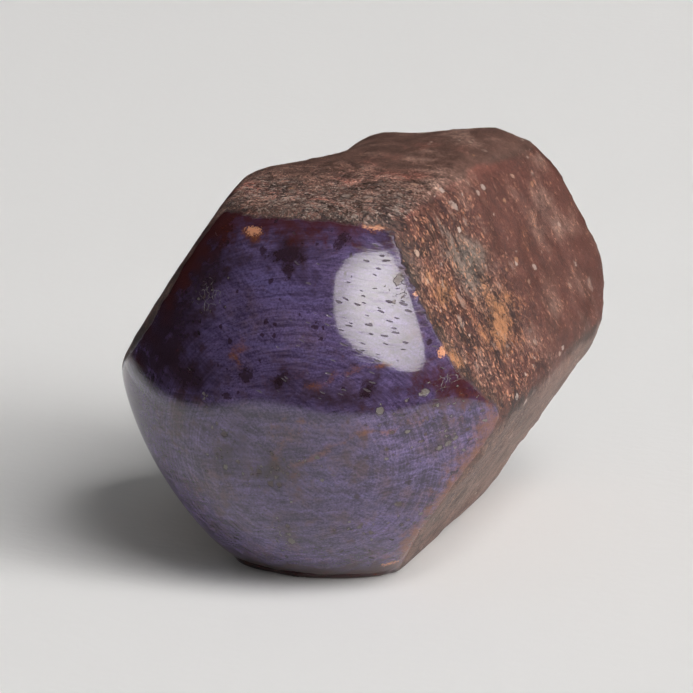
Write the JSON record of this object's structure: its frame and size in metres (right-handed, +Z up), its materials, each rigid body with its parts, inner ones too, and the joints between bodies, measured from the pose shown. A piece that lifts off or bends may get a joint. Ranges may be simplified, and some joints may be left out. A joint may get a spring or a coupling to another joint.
{
  "type": "raw ruby crystal",
  "caption": "Raw ruby crystal, a blunt six-sided barrel that lies on a side face, with one end ground to a low polished dome and the other broken off.",
  "frame": {"origin": "on the resting surface, under the middle of the crystal's bounding box", "axes": "+Z up; the long axis lies along Y, polished dome towards -Y, broken end towards +Y; +X to the right as the dome is looked at"},
  "size_m": [0.0296, 0.0302, 0.0255],
  "materials": {
    "corundum": "violet ground dome with a glassy polish; coppery brown, rough natural skin on the sides"
  },
  "bodies": {
    "root": {"ruby_crystal": "corundum"}
  },
  "joints": []
}
